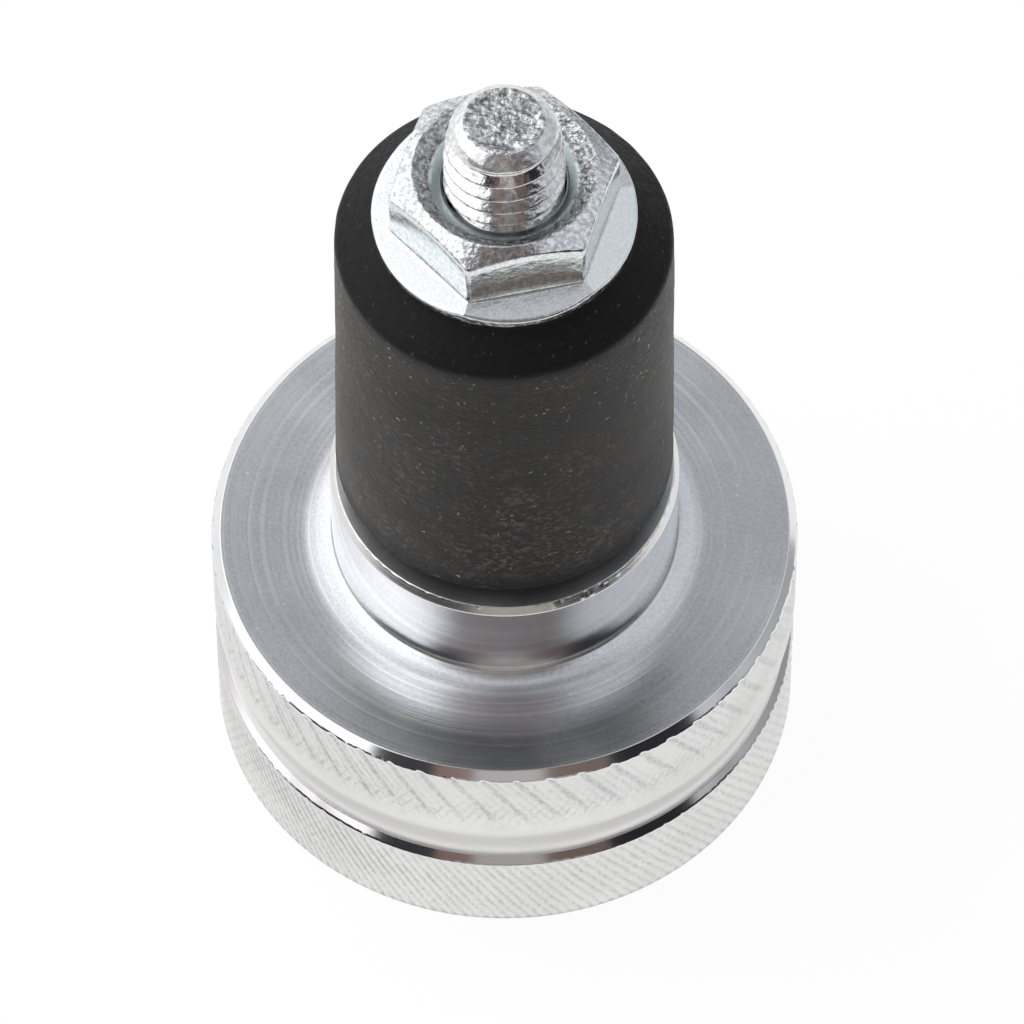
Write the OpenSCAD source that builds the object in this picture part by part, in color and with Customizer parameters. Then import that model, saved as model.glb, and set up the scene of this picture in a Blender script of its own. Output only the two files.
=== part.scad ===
// Bar end weight for a motorcycle handlebar, standing on its outer end face.
// A screw pulls a flange nut against a rubber sleeve, which swells and grips inside the bar.
// All sizes are in millimetres, and +Z runs along the axis into the bar.

/* [Weight body] */
// Diameter over the crests of the knurled head
body_d = 30.2; // [25:0.1:40]
// Length of the knurled head, from the outer end to the bar shoulder
head_len = 14.5; // [11.8:0.1:24]
// Leg of the 45 degree edge break beside the bar shoulder
shoulder_chamfer = 0.46; // [0.2:0.02:0.8]
// Leg of the 45 degree edge break at the outer end
end_chamfer = 0.35; // [0.2:0.05:1]

/* [Grip groove] */
// Height of the groove's lower edge above the outer end
groove_start = 5.7; // [3:0.1:7]
// Width of the groove at its mouth
groove_mouth = 2.8; // [2.3:0.1:3.6]
// Depth of the groove below the knurl crests
groove_depth = 0.6; // [0.4:0.05:0.9]
// Radius in the two corners of the groove
groove_root = 0.5; // [0.2:0.05:0.7]

/* [Knurl] */
// Diamonds round the head
knurl_count = 72; // [48:2:84]
// Depth of the diamonds
knurl_depth = 0.24; // [0.15:0.01:0.3]
// Slope of the knurl lines from the axis, in degrees
knurl_angle = 30; // [25:1:40]

/* [Spigot] */
// Diameter of the spigot that centres the weight in the bar
spigot_d = 17.8; // [14:0.1:22]
// Length of the spigot above the shoulder
spigot_len = 6; // [4.5:0.1:12]
// Leg of the edge break on the spigot's end
spigot_chamfer = 0.3; // [0.1:0.05:0.8]
// Radius between the shoulder and the spigot
spigot_root = 0.35; // [0.2:0.05:1.2]

/* [Screw] */
// Thread diameter of the socket head screw
screw_d = 6; // [4.8:0.1:7.2]
// Diameter of the screw's head
screw_head_d = 10; // [8:0.1:12]
// Height of the screw's head
screw_head_h = 6; // [4.8:0.1:7.2]
// Leg of the edge break on the screw's head
screw_head_edge = 0.4; // [0.2:0.05:0.6]
// Width across the flats of the hexagon socket
socket_flats = 5; // [3.5:0.1:6]
// Depth of the hexagon socket
socket_depth = 3; // [2:0.1:4]
// Slope of the drilled cone at the socket's bottom, in degrees
socket_cone = 20; // [10:1:31]
// Length of thread that stands out of the nut
thread_show = 4.1; // [2:0.1:8]
// Distance between two crests of the thread
thread_pitch = 1; // [0.7:0.05:1.25]
// Depth of the thread
thread_depth = 0.6; // [0.4:0.02:0.7]
// Diameter of the flat on the screw's end
thread_end_d = 3.9; // [3:0.1:4.7]
// Slope of the screw's tapered end, in degrees
thread_end_slope = 57; // [30:1:60]
// Diameter of the dimple in the screw's end
dimple_d = 2.6; // [1.5:0.1:2.9]
// Depth of the dimple in the screw's end
dimple_depth = 0.24; // [0.1:0.02:0.4]
// Depth of the counterbore that sinks the head, from the outer end
counterbore_depth = 10.8; // [9:0.1:13.2]
// Gap all round the head in its counterbore
head_gap = 0.5; // [0.2:0.05:1]
// Gap all round the screw in the drilled holes
hole_gap = 0.25; // [0.1:0.05:0.5]
// Leg of the edge break at the counterbore's mouth
mouth_chamfer = 0.4; // [0.2:0.05:0.8]

/* [Expander rubber] */
// Length of the rubber sleeve
rubber_len = 22; // [16:0.5:30]
// How far the foot of the rubber lies inside the spigot's outline, all round
rubber_gap = 0.3; // [0.1:0.05:0.6]
// How much the rubber's diameter narrows from its foot to its top
rubber_draft = 0.5; // [0:0.05:1]
// Height of the tapered part at each end
rubber_taper = 1.5; // [0.8:0.1:2.5]
// How far each small end lies inside the nut's flange, all round
rubber_inset = 0.1; // [0:0.05:0.4]
// Radius on the two edges where the tapers begin
rubber_edge = 0.5; // [0.2:0.05:0.8]

/* [Flange nut] */
// Width across the flats of the nut
nut_flats = 10; // [8.3:0.1:12]
// Height of the nut with its flange
nut_h = 4.2; // [3.3:0.1:5.5]
// Diameter of the flange
flange_d = 13; // [10.7:0.1:15.6]
// Height of the flange where it meets the flats
flange_h = 0.9; // [0.7:0.05:1.3]
// Fall of the flange's six faces towards the rim, in degrees
flange_slope = 13; // [8:0.5:16]
// Edge break on the underside of the flange
flange_edge = 0.12; // [0.05:0.01:0.2]
// Diameter of the ridge round the nut's hollow top
nut_top_d = 9; // [8.4:0.1:10.8]
// Slope of the nut's top chamfer, in degrees
nut_top_slope = 30; // [20:1:35]
// Width of the flat left on the ridge
nut_ridge = 0.1; // [0.05:0.01:0.2]
// Width of the hollow's slope inside the ridge
nut_dish_run = 0.75; // [0.4:0.05:0.9]
// Depth of the hollow's slope
nut_dish_depth = 0.65; // [0.3:0.05:0.9]
// Fall of the smooth entry between the hollow and the thread
nut_entry_fall = 0.25; // [0.1:0.05:0.5]
// How far the countersink under the nut reaches beyond the thread
countersink = 0.6; // [0.3:0.05:0.7]
// Gap all round the screw in the nut, whose thread is drawn plain
thread_gap = 0.05; // [0.02:0.01:0.1]
// Turn of the nut about the screw when it is tight, in degrees
nut_turn = 12.4; // [0:0.1:60]

/* [Hidden] */
$fn = 96;
// Extra length of a cutter past the face it leaves by
over = 1;

// Heights of the stack, from the outer end upwards
spigot_top = head_len + spigot_len;
rubber_top = spigot_top + rubber_len;
nut_top = rubber_top + nut_h;
screw_end = nut_top + thread_show;
head_bottom = counterbore_depth - screw_head_h;

// Radii of the turned body
crest_r = body_d / 2;
root_r = crest_r - knurl_depth;
groove_r = crest_r - groove_depth;
spigot_r = spigot_d / 2;
// Bar stock left outside the crests, which the knurl takes away
skin = 0.3;
stock_r = crest_r + skin;

// The knurl's lattice: crests and crossings alternate along each row and from row to row
knurl_columns = 2 * knurl_count;
knurl_row_h = crest_r * sin(180 / knurl_count) / tan(knurl_angle);
knurl_rows = ceil((head_len + 2 * over) / knurl_row_h);
waste_r = stock_r + over;

// Radii of the rubber
rubber_foot_r = spigot_r - rubber_gap;
rubber_top_r = rubber_foot_r - rubber_draft / 2;
rubber_end_r = flange_d / 2 - rubber_inset;

// Radii of the nut's bore, from the thread outwards
nut_bore_r = screw_d / 2 + thread_gap;
nut_ridge_r = nut_top_d / 2 - nut_ridge;
nut_entry_r = max(nut_bore_r + thread_gap, nut_ridge_r - nut_dish_run);

// Points of an arc from angle a to angle b about a centre
function arc(centre, r, a, b, steps = 6) =
    [for (s = [0 : steps]) centre + r * [cos(a + (b - a) * s / steps), sin(a + (b - a) * s / steps)]];

// Distance from a 135 degree corner to where a fillet of radius r begins
function fillet_leg(r) = r * tan(22.5);

// Half the section of the body as turned, before knurling and drilling
function turned_outline() = concat(
    [[0, 0], [crest_r - end_chamfer, 0], [stock_r, end_chamfer + skin]],
    [[stock_r, groove_start - skin]],
    groove_outline(),
    [[stock_r, groove_start + groove_mouth + skin]],
    [[stock_r, head_len - shoulder_chamfer - skin], [crest_r - shoulder_chamfer, head_len]],
    arc([spigot_r + spigot_root, head_len + spigot_root], spigot_root, 270, 180),
    [[spigot_r, spigot_top - spigot_chamfer], [spigot_r - spigot_chamfer, spigot_top], [0, spigot_top]]
);

// The groove's floor with its two corner radii, from the lower wall to the upper wall
function groove_outline() =
    let (
        leg = fillet_leg(groove_root),
        low = groove_start + groove_depth + leg,
        high = groove_start + groove_mouth - groove_depth - leg,
        centre_r = groove_r + groove_root
    )
    concat(
        arc([centre_r, low], groove_root, 225, 180, 4),
        arc([centre_r, high], groove_root, 180, 135, 4)
    );

// A point of the knurled surface: an even place is a crossing of two cuts, an odd one a crest
function knurl_point(i, k) =
    let (
        r = (i + k) % 2 == 0 ? root_r : crest_r,
        a = 360 * i / knurl_columns
    )
    [r * cos(a), r * sin(a), k * knurl_row_h - over];

function waste_point(i, z) =
    [waste_r * cos(360 * i / knurl_columns), waste_r * sin(360 * i / knurl_columns), z];

// Number of the lattice point in column i of row k
function at(i, k) = k * knurl_columns + i % knurl_columns;

// The two triangles of a lattice cell, split along the cut so that crests stay sharp
function knurl_cell(i, k) =
    (i + k) % 2 == 0
    ? [[at(i, k), at(i + 1, k), at(i + 1, k + 1)], [at(i, k), at(i + 1, k + 1), at(i, k + 1)]]
    : [[at(i, k), at(i + 1, k), at(i, k + 1)], [at(i + 1, k), at(i + 1, k + 1), at(i, k + 1)]];

// The sleeve of metal that knurling takes off: diamonds inside, plain outside
module knurl_waste() {
    top_z = knurl_rows * knurl_row_h - over;
    low_ring = knurl_rows + 1;
    high_ring = knurl_rows + 2;
    columns = [0 : knurl_columns - 1];
    points = concat(
        [for (k = [0 : knurl_rows], i = columns) knurl_point(i, k)],
        [for (i = columns) waste_point(i, -over)],
        [for (i = columns) waste_point(i, top_z)]
    );
    cells = [for (k = [0 : knurl_rows - 1], i = columns, face = knurl_cell(i, k)) face];
    low_end = [for (i = columns) [at(i, low_ring), at(i + 1, low_ring), at(i + 1, 0), at(i, 0)]];
    high_end = [for (i = columns)
        [at(i, knurl_rows), at(i + 1, knurl_rows), at(i + 1, high_ring), at(i, high_ring)]];
    outside = [for (i = columns)
        [at(i, low_ring), at(i, high_ring), at(i + 1, high_ring), at(i + 1, low_ring)]];
    polyhedron(points, concat(cells, low_end, high_end, outside), convexity = 4);
}

// The stepped hole for the screw, drilled from the outer end
module screw_hole() {
    mouth_r = screw_head_d / 2 + head_gap;
    translate([0, 0, -over])
        cylinder(r = screw_d / 2 + hole_gap, h = spigot_top + 2 * over);
    translate([0, 0, -over])
        cylinder(r = mouth_r, h = counterbore_depth + over);
    translate([0, 0, -over])
        cylinder(r1 = mouth_r + mouth_chamfer + over, r2 = mouth_r, h = mouth_chamfer + over);
}

// Turned head with its knurl and groove, and the spigot that enters the bar, all one piece
module weight_body() {
    color([0.78, 0.79, 0.81])
    difference() {
        rotate_extrude()
            polygon(turned_outline());
        knurl_waste();
        screw_hole();
    }
}

// Half the section of the rubber, with a rounded edge where each taper begins
module rubber_section() {
    foot_r = rubber_foot_r;
    top_r = rubber_top_r;
    bore_r = screw_d / 2 + hole_gap;
    low_angle = atan((foot_r - rubber_end_r) / rubber_taper);
    high_angle = atan((top_r - rubber_end_r) / rubber_taper);
    low_leg = rubber_edge * tan(low_angle / 2);
    high_leg = rubber_edge * tan(high_angle / 2);
    low_z = spigot_top + rubber_taper + low_leg;
    high_z = rubber_top - rubber_taper - high_leg;
    polygon(concat(
        [[bore_r, spigot_top], [rubber_end_r, spigot_top]],
        arc([foot_r - rubber_edge, low_z], rubber_edge, -low_angle, 0, 4),
        arc([top_r - rubber_edge, high_z], rubber_edge, 0, high_angle, 4),
        [[rubber_end_r, rubber_top], [bore_r, rubber_top]]
    ));
}

// Rubber sleeve between the spigot and the nut
module expander_rubber() {
    color([0.13, 0.12, 0.13])
    rotate_extrude()
        rubber_section();
}

// Half the section of the screw: head, plain shank, and the thread as rings where it shows
function screw_outline() =
    let (
        head_r = screw_head_d / 2,
        shank_r = screw_d / 2,
        thread_z = nut_top - nut_dish_depth - nut_entry_fall - thread_pitch,
        rings = ceil((screw_end - thread_z) / thread_pitch) + 1
    )
    concat(
        [[0, head_bottom], [head_r - screw_head_edge, head_bottom], [head_r, head_bottom + screw_head_edge]],
        [[head_r, counterbore_depth], [shank_r, counterbore_depth]],
        [for (k = [0 : rings - 1], p = thread_ring(thread_z + k * thread_pitch)) p],
        [[0, thread_z + rings * thread_pitch]]
    );

// One turn of the thread as a ring, from the middle of one crest to the middle of the next
function thread_ring(z) =
    let (
        thread_r = screw_d / 2,
        valley_r = thread_r - thread_depth,
        valley_z = z + thread_pitch / 2,
        crest_flat = thread_pitch / 8,
        valley_flat = thread_pitch / 4
    )
    [
        [thread_r, z + crest_flat / 2],
        [valley_r, valley_z - valley_flat / 2],
        [valley_r, valley_z + valley_flat / 2],
        [thread_r, z + thread_pitch - crest_flat / 2]
    ];

// Room that the screw may fill: it tapers to the flat on the end and has a dimple there
module screw_room() {
    point_h = (screw_d - thread_end_d) / 2 * tan(thread_end_slope);
    rotate_extrude()
        polygon([
            [0, head_bottom - over],
            [screw_head_d, head_bottom - over],
            [screw_head_d, counterbore_depth + over],
            [screw_d / 2 + over, counterbore_depth + over],
            [screw_d / 2 + over, screw_end - point_h - over * tan(thread_end_slope)],
            [thread_end_d / 2, screw_end],
            [dimple_d / 2, screw_end],
            [0, screw_end - dimple_depth]
        ]);
}

// Socket head screw that pulls the nut down on the rubber
module clamp_bolt() {
    cone_h = socket_flats / 2 * tan(socket_cone);
    color([0.72, 0.74, 0.76])
    difference() {
        intersection() {
            rotate_extrude()
                polygon(screw_outline());
            screw_room();
        }
        translate([0, 0, head_bottom - over])
            cylinder(r = socket_flats / 2 / cos(30), h = socket_depth + over, $fn = 6);
        translate([0, 0, head_bottom + socket_depth])
            cylinder(r1 = socket_flats / 2, r2 = 0, h = cone_h);
    }
}

// A solid whose six faces fall from the flats to the rim
module flange_pyramid() {
    corner = 1 / cos(30);
    run = flange_h / tan(flange_slope);
    cylinder(r1 = (nut_flats / 2 + run) * corner, r2 = nut_flats / 2 * corner, h = flange_h, $fn = 6);
}

// Round outline of the flange with its lower edge broken
module flange_disc() {
    flange_r = flange_d / 2;
    rotate_extrude()
        polygon([[0, 0], [flange_r - flange_edge, 0], [flange_r, flange_edge], [flange_r, flange_h],
            [0, flange_h]]);
}

// Hexagon with the cone that cuts its top corners
module chamfered_hexagon() {
    cone_run = nut_h / tan(nut_top_slope);
    intersection() {
        cylinder(r = nut_flats / 2 / cos(30), h = nut_h, $fn = 6);
        cylinder(r1 = nut_top_d / 2 + cone_run, r2 = nut_top_d / 2, h = nut_h);
    }
}

// Bore of the nut: countersink below, thread, smooth entry and the hollow top inside its ridge
module nut_bore() {
    entry_z = nut_h - nut_dish_depth;
    rotate_extrude()
        polygon([
            [0, -over],
            [nut_bore_r + countersink + over, -over],
            [nut_bore_r, countersink],
            [nut_bore_r, entry_z - nut_entry_fall],
            [nut_entry_r, entry_z],
            [nut_ridge_r, nut_h],
            [nut_ridge_r, nut_h + over],
            [0, nut_h + over]
        ]);
}

// Nut with a six-faced flange, turned as it was tightened
module flange_nut() {
    color([0.8, 0.81, 0.84])
    translate([0, 0, rubber_top])
    rotate([0, 0, nut_turn])
    difference() {
        union() {
            intersection() {
                flange_pyramid();
                flange_disc();
            }
            chamfered_hexagon();
        }
        nut_bore();
    }
}

weight_body();
expander_rubber();
clamp_bolt();
flange_nut();
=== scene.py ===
"""Bar end weight in a white studio: knurled aluminium head, rubber expander, screw and flange nut.

Sizes are in millimetres until a mesh is made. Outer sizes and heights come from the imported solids.
"""
import math

import bpy
import numpy as np
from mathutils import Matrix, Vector


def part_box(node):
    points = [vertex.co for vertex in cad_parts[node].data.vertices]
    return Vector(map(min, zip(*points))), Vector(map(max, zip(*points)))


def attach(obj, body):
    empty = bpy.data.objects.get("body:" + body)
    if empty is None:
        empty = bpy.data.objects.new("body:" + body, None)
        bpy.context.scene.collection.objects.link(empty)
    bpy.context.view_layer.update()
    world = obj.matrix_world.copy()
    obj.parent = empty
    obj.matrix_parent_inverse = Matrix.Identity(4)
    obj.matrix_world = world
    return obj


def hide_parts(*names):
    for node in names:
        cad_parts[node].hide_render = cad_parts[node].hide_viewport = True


MM = 0.001
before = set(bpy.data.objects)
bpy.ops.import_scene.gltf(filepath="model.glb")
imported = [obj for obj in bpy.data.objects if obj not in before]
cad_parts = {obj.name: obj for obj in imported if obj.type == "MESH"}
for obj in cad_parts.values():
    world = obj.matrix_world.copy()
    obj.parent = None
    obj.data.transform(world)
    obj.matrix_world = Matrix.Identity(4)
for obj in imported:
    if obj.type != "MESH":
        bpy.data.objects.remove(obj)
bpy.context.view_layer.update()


def box_mm(node):
    """Lowest and highest corner of a solid, in millimetres."""
    low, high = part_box(node)
    return np.array(low) / MM, np.array(high) / MM


body_high = box_mm("weight_body")[1]
rubber_low, rubber_high = box_mm("expander_rubber")
screw_low, screw_high = box_mm("clamp_bolt")
nut_low, nut_high = box_mm("flange_nut")

# Turned head
CREST_R = body_high[0]
SPIGOT_TOP = body_high[2]
SPIGOT_LEN = 6.0
HEAD_LEN = SPIGOT_TOP - SPIGOT_LEN
SHOULDER_CHAMFER = 0.46
END_CHAMFER = 0.35
SPIGOT_R = 8.9
SPIGOT_EDGE_RUN = 0.27
SPIGOT_EDGE_FALL = 0.4
HOLE_R = 3.25
COUNTERBORE_R = 5.5
COUNTERBORE_DEPTH = 10.8
MOUTH_CHAMFER = 0.4

# Soft rise of the shoulder to the spigot's foot, drawn in steps that crowd towards the spigot
ROOT_RUN = 3.0
ROOT_RISE = 0.45
ROOT_POWER = 5
ROOT_STEPS = 16
ROOT_CROWDING = 1.3

# Grip groove: a lower wall at 45 degrees and a long cove that runs up into the knurl
GROOVE_START = 5.7
GROOVE_DEPTH = 0.6
GROOVE_ROOT = 0.75
GROOVE_TOP = 9.2
COVE_STEPS = 14

# Fine knurl, as the real tool leaves it. The widths of its lines are shares of the pitch
KNURL_COUNT = 171
KNURL_STEPS = 4
KNURL_DEPTH = 0.13
KNURL_ANGLE = math.radians(30)
KNURL_PITCH = 2 * math.pi * CREST_R / KNURL_COUNT
KNURL_LEAD = KNURL_PITCH / math.tan(KNURL_ANGLE)
LINE_WIDTH = 0.5
DEEP_LINE_WIDTH = 0.9
# Above the groove only every third line is deep, because the tool ran out of step there
DEEP_EVERY = 3

# Range of each family of lines, as shares of the knurl's depth
PLAIN_LINES = (0.5, 0.8)
CROSSING_LINES = (0.05, 0.25)
DEEP_LINES = (0.7, 1.0)

# Above the groove: how strong the plain and the deep crossing lines still are, and where lines fade
UPPER_PLAIN_SHARE = 0.25
UPPER_CROSSING_SHARE = 0.5
UPPER_FADE = 1.2
CROSSING_TOP = 12.0
CROSSING_FADE = 1.4
# Below the groove the lines grow from a weak start at its edge
LOWER_FADE = 0.5
LOWER_START_SHARE = 0.3

# Torn metal: on the knurl, at its top edge (weaker between the deep lines) and round the spigot's end
TORN_DEPTH = 0.014
BURR_OUT = 0.035
BURR_SINK = 0.03
BURR_BETWEEN_SHARE = 0.3
RAGGED_DEPTH = 0.022
RAGGED_REACH = 0.06

# Marks of handling on the spigot: azimuth in degrees, height, width, and push outwards (inwards below 0)
NICKS = (
    (-98.5, 20.46, 0.08, 0.028),
    (-73.5, 20.34, 0.14, 0.021),
    (-71.0, 20.42, 0.08, -0.028),
    (-63.5, 20.24, 0.08, 0.028),
    (-61.8, 20.4, 0.12, -0.042),
    (-60.2, 20.22, 0.1, 0.035),
    (-56.0, 20.42, 0.1, -0.035),
    (-54.2, 20.28, 0.08, -0.021),
    (-49.0, 20.4, 0.08, 0.028),
    (-149.0, 15.3, 0.16, -0.035),
)

# Rubber sleeve
RUBBER_TAPER_H = 1.5
RUBBER_ROUNDING = 0.5
RUBBER_NARROWING = 0.25
RUBBER_END_INSET = 0.1
RUBBER_SWELL = 0.03
RUBBER_RIPPLE = 0.012

# Screw. The flats of its crests and roots are shares of the pitch
THREAD_R = 2.98
THREAD_PITCH = 1.0
THREAD_DEPTH = 0.56
THREAD_END_R = 1.95
CREST_FLAT = 0.07
ROOT_FLAT = 0.12
# Height of a crest in front, as a share of the pitch, and the front as a share of a turn
FRONT_CREST = 0.17
FRONT_TURN = 0.75
# The crests get shorter towards the end, whose cone widens by this much for each millimetre down
SHORT_CREST_RUN = 3.4
SHORT_CREST_BY = 0.5
END_CONE_SLOPE = 1.2
END_CONE_H = 0.85
THREAD_ROUGHNESS = 0.012
THREAD_HIDDEN = 1.4
THREAD_ROWS_PER_MM = 26
SHANK_R = THREAD_R - 0.05
SCREW_HEAD_H = 6.0
SCREW_HEAD_ROUNDING = 0.4
SOCKET_FLATS = 5.0
SOCKET_DEPTH = 3.0
SOCKET_CHAMFER = 0.15
SOCKET_POINT = 0.85
# Radius of the small hole that a cap closes in the middle of an end
CAP_R = 0.02

# Flange nut
NUT_FLATS = 10.0
NUT_CORNER_CUT = 0.06
NUT_CONE = math.radians(30)
NUT_RIDGE_R = 4.45
NUT_DISH_R = 3.65
NUT_DISH_DEPTH = 0.65
NUT_ENTRY_FALL = 0.25
NUT_BORE_R = THREAD_R + 0.07
NUT_BORE_FROM = 1.0
NUT_TURN = math.radians(12.4)
FLANGE_H = 0.9
FLANGE_SLOPE = math.radians(13)
FLANGE_RIM_CHAMFER = 0.14
STAMPED_SINK = 0.03
CONE_UNEVEN_SHARE = 0.15

# A sixth and a twelfth of a turn, for hexagons
SIXTH = math.radians(60)
TWELFTH = math.radians(30)

# Distance of the extra loops that keep a turned edge crisp
EDGE = 0.04
# Room for rounding where rows are picked by their place
SLACK = 0.01

random_source = np.random.default_rng(8)


# Mesh helpers

def new_piece(name, vertices, faces, materials, face_materials=None):
    """Makes a smooth mesh object from millimetre points and puts it in the scene."""
    mesh = bpy.data.meshes.new(name)
    mesh.from_pydata((np.asarray(vertices) * MM).tolist(), [], faces)
    for material in materials:
        mesh.materials.append(material)
    if face_materials is not None:
        mesh.polygons.foreach_set("material_index", np.asarray(face_materials, np.int32))
    mesh.polygons.foreach_set("use_smooth", np.full(len(mesh.polygons), True))
    mesh.update()
    piece = bpy.data.objects.new(name, mesh)
    bpy.context.scene.collection.objects.link(piece)
    return piece


def arc(centre, radius, start, end, steps):
    """Points of an arc, its angles in degrees."""
    angles = np.radians(np.linspace(start, end, steps + 1))
    return [(centre[0] + radius * math.cos(a), centre[1] + radius * math.sin(a)) for a in angles]


def stretch(points, zone, step, edge=0.0):
    """Points along an outline with their zone's name, at most a step apart, with loops by each corner."""
    out = []
    for (r0, z0), (r1, z1) in zip(points[:-1], points[1:], strict=True):
        length = math.hypot(r1 - r0, z1 - z0)
        count = max(1, math.ceil(length / step))
        places = {i / count for i in range(count)}
        if edge and length > 3 * edge:
            places |= {edge / length, 1 - edge / length}
        out += [(r0 + (r1 - r0) * t, z0 + (z1 - z0) * t, zone) for t in sorted(places)]
    return out


def rings_of(outline, columns):
    """Radius, height and angle of the points that an outline makes when it is turned round the axis."""
    r, z = (np.array([point[i] for point in outline])[:, None] * np.ones(columns) for i in (0, 1))
    angle = 2 * math.pi * np.arange(columns) / columns * np.ones((len(outline), 1))
    return r, z, angle


def in_zone(rows, zone):
    """Which rows of radius, height and zone belong to a zone, as a column."""
    return np.array([row[2] == zone for row in rows])[:, None]


def zone_materials(rows, materials, columns):
    """Index of each face's material, ring by ring, from the zones of the rows."""
    names = list(materials)
    return np.repeat([names.index(row[2]) for row in rows], columns)


def ring_faces(rings, columns, closed):
    """Quads between successive rings of points, the last joined to the first when closed."""
    count = rings if closed else rings - 1
    k = np.arange(count)[:, None] * columns
    k_next = (np.arange(count)[:, None] + 1) % rings * columns
    i = np.arange(columns)[None, :]
    i_next = (i + 1) % columns
    quads = np.stack([k + i, k + i_next, k_next + i_next, k_next + i], -1)
    return quads.reshape(-1, 4).tolist()


def turned_points(r, z, angle):
    """Points of rings round the axis."""
    return np.stack([r * np.cos(angle), r * np.sin(angle), z], -1).reshape(-1, 3)


def blended(knots, i, j, fu, fv):
    """Values between the knots of a grid, blended smoothly."""
    fu, fv = fu * fu * (3 - 2 * fu), fv * fv * (3 - 2 * fv)
    i_next = (i + 1) % knots.shape[0]
    j_next = (j + 1) % knots.shape[1]
    near = knots[i, j] * (1 - fu) + knots[i_next, j] * fu
    far = knots[i, j_next] * (1 - fu) + knots[i_next, j_next] * fu
    return near * (1 - fv) + far * fv


def wrapped_noise(angle, along, cells_round, cell_along):
    """Random values between -1 and 1 over angle and a length, closed round the axis."""
    u = (angle / (2 * math.pi) % 1.0) * cells_round
    v = (along - along.min()) / cell_along
    knots = random_source.uniform(-1, 1, (cells_round, int(v.max()) + 2))
    i, j = u.astype(int) % cells_round, v.astype(int)
    return blended(knots, i, j, u % 1.0, v - j)


def plane_noise(x, y, cell):
    """Random values between -1 and 1 over a plane, in cells of one size."""
    reach = int(max(np.abs(x).max(), np.abs(y).max()) / cell) + 2
    knots = random_source.uniform(-1, 1, (2 * reach + 1, 2 * reach + 1))
    u, v = x / cell + reach, y / cell + reach
    i, j = u.astype(int), v.astype(int)
    return blended(knots, i, j, u - i, v - j)


# Material helpers

SOCKETS = {
    "colour": "Base Color",
    "metallic": "Metallic",
    "roughness": "Roughness",
    "ior": "IOR",
    "specular": "Specular IOR Level",
    "anisotropic": "Anisotropic",
    "normal": "Normal",
}


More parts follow.
